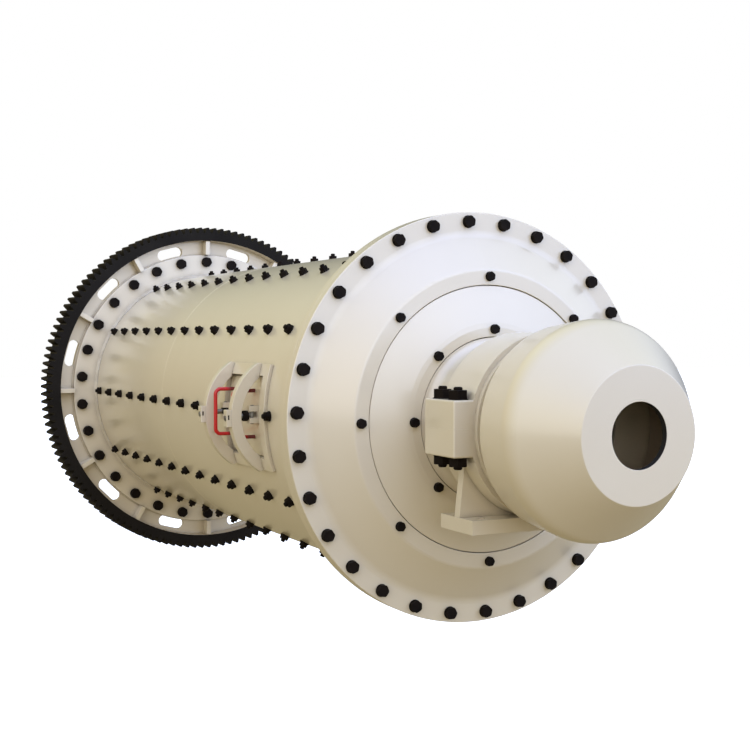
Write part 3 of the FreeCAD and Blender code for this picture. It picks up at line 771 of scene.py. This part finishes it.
def manholeNutPiece(size):
    bows = (("manhole_bow_gear_side", size["gearSideOut"]), ("manhole_bow_feed_side", size["feedSideOut"]))
    parts = []
    blocks = [point.co for point in nodes["manhole_bow_blocks"].data.vertices]
    for bow, reach in bows:
        low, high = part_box(bow)
        x = (low.x + high.x) / 2
        nut = hexBlock(size["across"], size["height"], 0, size["cornerCut"])
        nut.data.transform(Matrix.Translation((x, -reach + size["height"], axisHeight - size["drop"]))
                           @ Matrix.Rotation(math.pi / 2, 4, "X"))
        near = [co for co in blocks if abs(co.x - x) < size["blockReach"]]
        side, face = max(co.x for co in near), min(co.y for co in near)
        middle = (min(co.z for co in near) + max(co.z for co in near)) / 2
        key = wedgeKey(size)
        key.data.transform(Matrix.Translation((side, face + size["keyInset"], middle + size["keyRise"])))
        parts += [nut, key]
    return joinAll(parts, "manhole_nuts")


manholeHardware = manholeNutPiece(manholeNuts)
finishPiece(manholeHardware, "drum", boltSteel)


shellSeam = {"fromFeedFace": 2.537, "bead": 0.004, "proud": 0.0011}
ringSegments = {"around": 180, "across": 8}
weldAngle = 60     # edges under this many degrees are shaded smooth on a bead


def seamRing(x, radius, bead, name):
    bpy.ops.mesh.primitive_torus_add(major_radius=radius, major_segments=ringSegments["around"],
                                     minor_radius=bead, minor_segments=ringSegments["across"],
                                     location=(x, 0, axisHeight), rotation=(0, math.pi / 2, 0))
    ring = settle(bpy.context.object)
    ring.name = name
    return ring


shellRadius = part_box("shell")[1].z - axisHeight
seam = seamRing(feedFace - shellSeam["fromFeedFace"], shellRadius - shellSeam["bead"] + shellSeam["proud"],
                shellSeam["bead"], "shell_seam")
finishPiece(seam, "drum", creamPaint, weldAngle)

gearWeld = {"bead": 0.009}     # where the shell's flange meets the gear's web
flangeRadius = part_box("discharge_shell_flange")[1].z - axisHeight
weld = seamRing(gearWebFront, flangeRadius, gearWeld["bead"], "gear_flange_weld")
# the weld bead takes the flange's painted shade and dirt, a dark line where the flange meets the web
finishPiece(weld, "drum", creamRimHighlightAndShade, weldAngle)
print("welds done")


studio = {
    "floorSize": 160,
    "floorBelowGear": 1.0,
    "floorColour": (0.95, 0.95, 0.95, 1),
    "floorGlow": 0.45,                        # lifts the floor's shadows to a faint grey
    "floorBounce": (0.34, 0.285, 0.17, 1),    # what the object sees of it
    "glowSpread": 6.0,                        # higher makes each glow of the sky narrower
}

# degrees from +X towards +Y, degrees up, and colour; a soft glow lights the mill but isn't reflected in it
skyGlows = [
    {"turn": 0, "up": 8, "colour": (1.36, 1.40, 1.38, 1)},
    {"turn": 45, "up": 8, "colour": (1.00, 1.28, 2.05, 1)},
    {"turn": 90, "up": 12, "colour": (1.02, 1.10, 1.32, 1)},
    {"turn": -135, "up": 8, "colour": (0.66, 0.49, 0.26, 1)},
    {"turn": -90, "up": 8, "colour": (0.95, 0.97, 0.72, 1)},
    {"turn": -45, "up": 8, "colour": (1.54, 1.38, 1.24, 1)},
    {"turn": 20, "up": 50, "colour": (1.40, 1.75, 3.10, 1)},
    {"turn": 110, "up": 50, "colour": (0.36, 0.37, 0.23, 1)},
    {"turn": -160, "up": 50, "colour": (0.95, 0.94, 0.52, 1)},
    {"turn": -70, "up": 50, "colour": (0.60, 0.77, 1.22, 1)},
    {"turn": 180, "up": 10, "colour": (0.85, 0.98, 1.35, 1), "soft": True},
]


def makeFloor(look):
    height = cadBox[0].z - look["floorBelowGear"]
    bpy.ops.mesh.primitive_plane_add(size=look["floorSize"], location=(0, 0, height))
    floor = settle(bpy.context.object)
    floor.name = "floor"
    material, tree, shader = startMaterial("paleFloor", {"Roughness": 0.9, "Specular IOR Level": 0.0})
    ray = addNode(tree, "LightPath", -300, 300)
    seen = ray.outputs["Is Camera Ray"]
    colour = mixColour(tree, 0, 200, seen, (0, 0, 0, 1), look["floorColour"])
    glow = mixColour(tree, 0, -100, seen, look["floorBounce"], (look["floorGlow"],) * 3 + (1,))
    tree.links.new(colour, shader.inputs["Base Color"])
    tree.links.new(glow, shader.inputs["Emission Color"])
    shader.inputs["Emission Strength"].default_value = 1
    floor.data.materials.append(material)


def makeSky(glows, spread):
    world = bpy.data.worlds.new("studio")
    bpy.context.scene.world = world
    world.use_nodes = True
    tree = world.node_tree
    out = tree.nodes["World Output"]
    sky = tree.nodes["Background"]
    spot = addNode(tree, "TexCoord", -1100, 0)
    ray = addNode(tree, "LightPath", -1100, 300)
    total = (0, 0, 0, 1)
    for glow in glows:
        turn, up = math.radians(glow["turn"]), math.radians(glow["up"])
        towards = addNode(tree, "VectorMath", -900, 0)
        towards.operation = "DOT_PRODUCT"
        towards.inputs[1].default_value = (math.cos(turn) * math.cos(up), math.sin(turn) * math.cos(up),
                                           math.sin(up))
        wire(tree, spot, "Generated", towards, 0)
        near = addNode(tree, "Math", -700, 0)
        near.operation = "MAXIMUM"
        near.inputs[1].default_value = 0
        wire(tree, towards, "Value", near, 0)
        narrow = addNode(tree, "Math", -500, 0)
        narrow.operation = "POWER"
        narrow.inputs[1].default_value = spread
        wire(tree, near, 0, narrow, 0)
        share = narrow
        if glow.get("soft"):
            share = addNode(tree, "Math", -400, 0)
            share.operation = "MULTIPLY"
            wire(tree, narrow, 0, share, 0)
            wire(tree, ray, "Is Diffuse Ray", share, 1)
        total = mixColour(tree, -300, 0, share.outputs[0], total, glow["colour"], "ADD")
    tree.links.new(total, sky.inputs["Color"])
    backdrop = addNode(tree, "Background", -100, -200, {"Color": (1, 1, 1, 1), "Strength": 1.0})
    pick = addNode(tree, "MixShader", 100, 0)
    wire(tree, ray, "Is Camera Ray", pick, 0)
    wire(tree, sky, "Background", pick, 1)
    wire(tree, backdrop, "Background", pick, 2)
    wire(tree, pick, "Shader", out, "Surface")


makeFloor(studio)
makeSky(skyGlows, studio["glowSpread"])
bpy.context.scene.view_settings.view_transform = "Standard"
print("floor and lights done")
